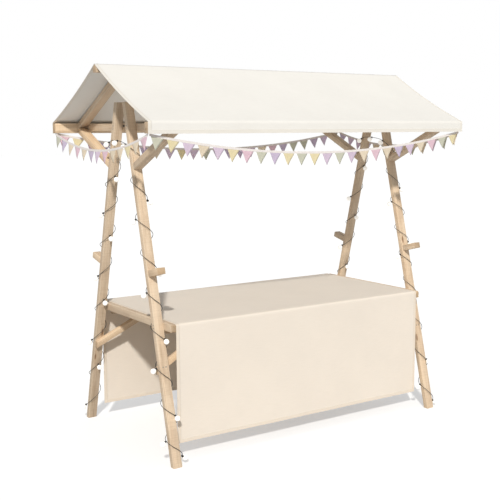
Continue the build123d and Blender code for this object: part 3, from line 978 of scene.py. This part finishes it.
def runPoint(direction, side, along, depth, z):
    plane = side * buntingShape["planes"][direction]
    return (along, plane + depth, z) if direction == "along" else (plane + depth, along, z)


def makeTape(name, direction, side, material):
    half = buntingShape["halfLengths"][direction]
    height = buntingLine(direction)[0]
    count = round(2 * half / buntingShape["tapeSpacing"])
    thick, wide = buntingShape["tapeThickness"] / 2, buntingShape["tapeWidth"]
    section = ((-thick, 0), (thick, 0), (thick, wide), (-thick, wide))
    vertices, faces = [], []
    for number in range(count + 1):
        along = -half + 2 * half * number / count
        wander = buntingShape["tapeWander"] * noise.noise(Vector((along * 9, side, 2.0)))
        for depth, drop in section:
            vertices.append(runPoint(direction, side, along, depth + wander, height(along) - drop))
    for number in range(count):
        for corner in range(4):
            following = (corner + 1) % 4
            start = number * 4
            faces.append((start + corner, start + following, start + 4 + following, start + 4 + corner))
    faces += [(3, 2, 1, 0), tuple(count * 4 + corner for corner in range(4))]
    tape = newObject(name, newMesh(name, vertices, faces), material)
    fixNormals(tape)
    return tape


def fixNormals(piece):
    part = bmesh.new()
    part.from_mesh(piece.data)
    bmesh.ops.recalc_face_normals(part, faces=part.faces)
    part.to_mesh(piece.data)
    part.free()


# A pointed flag: its top edge lies along X at the origin and it hangs down along -Z, slightly curled.
def makeFlagPart():
    rows, wide, drop = buntingShape["flagRows"], buntingShape["flagWidth"], buntingShape["flagDrop"]
    vertices, faces, first = [], [], []
    for row in range(rows + 1):
        share = row / rows
        first.append(len(vertices))
        count = rows - row
        for column in range(count + 1):
            x = (column / count - 0.5) * wide * (1 - share) if count else 0
            free = max(0.0, share - buntingShape["sewnShare"])
            cupped = (2 * x / wide) ** 2 * min(1.0, free * buntingShape["cupPace"])
            curl = buntingShape["flagCurl"] * (sin(free * buntingShape["curlPace"]) - cupped)
            vertices.append((x, curl, -share * drop))
    for row in range(rows):
        count = rows - row
        for column in range(count):
            upper, lower = first[row] + column, first[row + 1] + column
            faces.append((upper, lower, upper + 1))
            if column < count - 1:
                faces.append((upper + 1, lower, lower + 1))
    flag = newObject("flagPart", newMesh("flagPart", vertices, faces))
    thick = flag.modifiers.new("thickness", "SOLIDIFY")
    thick.thickness = buntingShape["flagThickness"]
    thick.offset = 0
    applyAll(flag)
    flag.data.shade_smooth()
    return flag


# Plain cotton whose colour comes from each flag's own tint.
def flagCloth():
    material, tree = newMaterial("flagCotton")
    count = len(buntingLook["tints"])
    stops = [(number / count, colour) for number, colour in enumerate(buntingLook["tints"])]
    colour = ramp(tree, attribute(tree, "tint"), stops, "CONSTANT")
    place = addNode(tree, "ShaderNodeTexCoord").outputs["Object"]
    threads = cloudNoise(tree, place, 1.0, scale=900.0)
    threadTone = ramp(tree, threads, [(0.35, (0.86, 0.86, 0.86)), (0.6, (1, 1, 1))])
    toned = mixColour(tree, 0.35, colour, threadTone, "MULTIPLY")
    bump = addNode(tree, "ShaderNodeBump", {"Height": threads, "Strength": 0.2, "Distance": 0.0003})
    cotton = {"Base Color": toned, "Roughness": 0.9, "Normal": bump.outputs[0]}
    body = addNode(tree, "ShaderNodeBsdfPrincipled", cotton)
    body.inputs["Sheen Weight"].default_value = 0.2
    glow = addNode(tree, "ShaderNodeBsdfTranslucent", {"Color": toned})
    both = addNode(tree, "ShaderNodeMixShader", {0: 0.25, 1: body.outputs[0], 2: glow.outputs[0]})
    finishSurface(tree, both.outputs[0])
    return material


tapeCotton = plainMaterial("tapeCotton", buntingLook["tape"], 0.9, mottle=0.08)
flagCotton = flagCloth()
tintOrder = random.Random(12)
buntingRuns = (("front", "along", -1), ("back", "along", 1), ("left", "across", -1), ("right", "across", 1))
for run, (sideName, direction, side) in enumerate(buntingRuns):
    half = buntingShape["halfLengths"][direction]
    count = round(2 * half / buntingShape["flagPitch"])
    spacing = 2 * half / count
    height, slope = buntingLine(direction)
    flags = []
    for number in range(count):
        middle = (number + 0.5) * spacing - half
        at = runPoint(direction, side, middle, 0, height(middle) - buntingShape["tapeWidth"] / 2)
        rise = atan(slope(middle))
        level = Vector((1, 0, 0)) if direction == "along" else Vector((0, 1, 0))
        along = level * cos(rise) + Vector((0, 0, sin(rise)))
        upright = Vector((0, 0, 1)) * cos(rise) - level * sin(rise)
        tint = (tintOrder.randrange(len(buntingLook["tints"])) + 0.5) / len(buntingLook["tints"])
        flags.append((at, upright, along, tint))
    name = sideName.capitalize()
    tape = makeTape(f"buntingTape{name}", direction, side, tapeCotton)
    place(tape, "bunting_cloth")
    cloth = setOut(f"buntingFlags{name}", makeFlagPart(), flags, flagCotton, seed=20 + run,
                   swing=buntingShape["flagSwing"], sizeVariation=buntingShape["flagVariation"])
    place(cloth, "bunting_cloth", f"bunting_{sideName}")
print("bunting hung")


# Fixings: a bolt head by each leg on the tie beams, and pairs of screws at three joints of each leg

boltShape = {
    "washer": ((0.0025, 0.0), (0.0088, 0.0), (0.0092, 0.0004), (0.0088, 0.0012), (0.0050, 0.0014)),
    "head": ((0.0060, 0.0012), (0.0064, 0.0016), (0.0064, 0.0042), (0.0054, 0.0050), (0.0010, 0.0052)),
    "offMiddle": 0.0595,
    "height": 2.052,
}
screwShape = {
    "head": (
        (0.0020, -0.0003), (0.0040, 0.0), (0.0042, 0.0003),
        (0.0036, 0.0006), (0.0016, 0.0006), (0.0012, 0.0001),
    ),
    "halfGap": 0.010,
    "tieZ": 2.0425,
    "bearerZ": 0.833,
    "braceZ": 0.590,
}
zinc = plainMaterial("darkZinc", (0.17, 0.165, 0.155), 0.42, metallic=0.9, mottle=0.35)
steel = plainMaterial("dullSteel", (0.36, 0.34, 0.30), 0.5, metallic=0.85, mottle=0.3)
bolts, screws = [], []
for side in (-1, 1):
    legInner, legOuter = legShape["planeX"] - legShape["width"] / 2, legShape["width"] / 2
    for face in (-1, 1):
        at = (side * legInner, face * boltShape["offMiddle"], boltShape["height"])
        bolts.append((at, (side, 0, 0), (0, 0, 1), 0.0))
        for height in (screwShape["tieZ"], screwShape["bearerZ"]):
            for gap in (-screwShape["halfGap"], screwShape["halfGap"]):
                at = legPoint(side, face, side * legOuter, 0, height + gap)
                screws.append((at, (side, 0, 0), (0, 0, 1), 0.0))
        outward = Vector((0, face * cos(lean), sin(lean)))
        for gap in (-screwShape["halfGap"], screwShape["halfGap"]):
            at = legPoint(side, face, gap, face * legShape["depth"] / 2, screwShape["braceZ"])
            screws.append((at, outward, (1, 0, 0), 0.0))
washers = setOut("boltWashers", lathe("washerPart", boltShape["washer"], 24), bolts, zinc, seed=31)
heads = setOut("boltHeads", lathe("headPart", boltShape["head"], 6, 20), bolts, zinc, seed=32, spin=pi)
screwPart = lathe("screwPart", screwShape["head"], 14)
jointScrews = setOut("jointScrews", screwPart, screws, steel, seed=33, spin=pi)
for piece in (washers, heads, jointScrews):
    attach(piece, "root")
print("bolts and screws set")


# Nails at both ends of the rafters, and the stitches that hold the hems

nailShape = {
    "head": ((0.0006, 0.0), (0.0034, 0.0001), (0.0036, 0.0005), (0.0030, 0.0009), (0.0008, 0.0011)),
    "shares": (0.045, 0.955),
    "halfGap": 0.008,
    "rafterFoot": (0.640, 2.072),
    "rafterPeak": (0.022, 2.399),
    "rafterDepth": 0.034,
    "outerX": 1.091,
}


def nailPlaces(shape):
    (footY, footZ), (peakY, peakZ) = shape["rafterFoot"], shape["rafterPeak"]
    length = dist(shape["rafterFoot"], shape["rafterPeak"])
    inY, inZ = (footZ - peakZ) / length, (peakY - footY) / length
    places = []
    for side in (-1, 1):
        for face in (-1, 1):
            for share in shape["shares"]:
                for gap in (-shape["halfGap"], shape["halfGap"]):
                    down = shape["rafterDepth"] / 2 + gap
                    y = footY + share * (peakY - footY) + inY * down
                    z = footZ + share * (peakZ - footZ) + inZ * down
                    places.append(((side * shape["outerX"], face * y, z), (side, 0, 0), (0, 0, 1), 0.0))
    return places


nailHead = lathe("nailPart", nailShape["head"], 12)
nails = setOut("rafterNails", nailHead, nailPlaces(nailShape), zinc, seed=41, spin=pi)
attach(nails, "root")

stitchShape = {
    "length": 0.0042,
    "radius": 0.0005,
    "pitch": 0.0075,
    "fromEdge": 0.020,
    "spin": 0.08,
    "thread": (0.66, 0.61, 0.53),
}


# One stitch lies along X, with half of it sunk into the cloth.
def stitchPart(shape):
    half, radius = shape["length"] / 2, shape["radius"]
    profile = ((radius * 0.3, -half), (radius, -half * 0.6), (radius, half * 0.6), (radius * 0.3, half))
    part = lathe("stitchPart", profile, 6)
    part.data.transform(Matrix.Rotation(pi / 2, 4, "Y"))
    return part


# Rows of stitches a little in from all four edges of a cloth.
def stitchPlaces(corners, width, halfLength, wave):
    stations = sectionPoints(corners, clothShape["spacing"])
    inset, pitch = stitchShape["fromEdge"], stitchShape["pitch"]
    places = []
    for along in (inset, width - inset):
        count = round(2 * (halfLength - inset) / pitch)
        for number in range(count):
            x = -halfLength + inset + (number + 0.5) * pitch
            at, outward = onCloth(stations, wave, along, x)
            places.append((at, outward, (1, 0, 0), 0.0))
    for x in (inset - halfLength, halfLength - inset):
        count = round((width - 2 * inset) / pitch)
        for number in range(count):
            at, outward = onCloth(stations, wave, inset + (number + 0.5) * pitch, x)
            places.append((at, outward, (0, outward[2], -outward[1]), 0.0))
    return places


thread = plainMaterial("hemThread", stitchShape["thread"], 0.85, mottle=0.1)
for name, slot, corners, width, half, wave, seed in (
        ("roofStitches", "roof_cloth", roofCorners(), roofWidth, roofHalf, roofWave, 51),
        ("tableStitches", "table_cloth", tableCorners(), tableWidth, tableHigh.x, tableWave, 52)):
    places = stitchPlaces(corners, width, half, wave)
    place(setOut(name, stitchPart(stitchShape), places, thread, seed=seed, spin=stitchShape["spin"]), slot)
print("nails and stitches set")
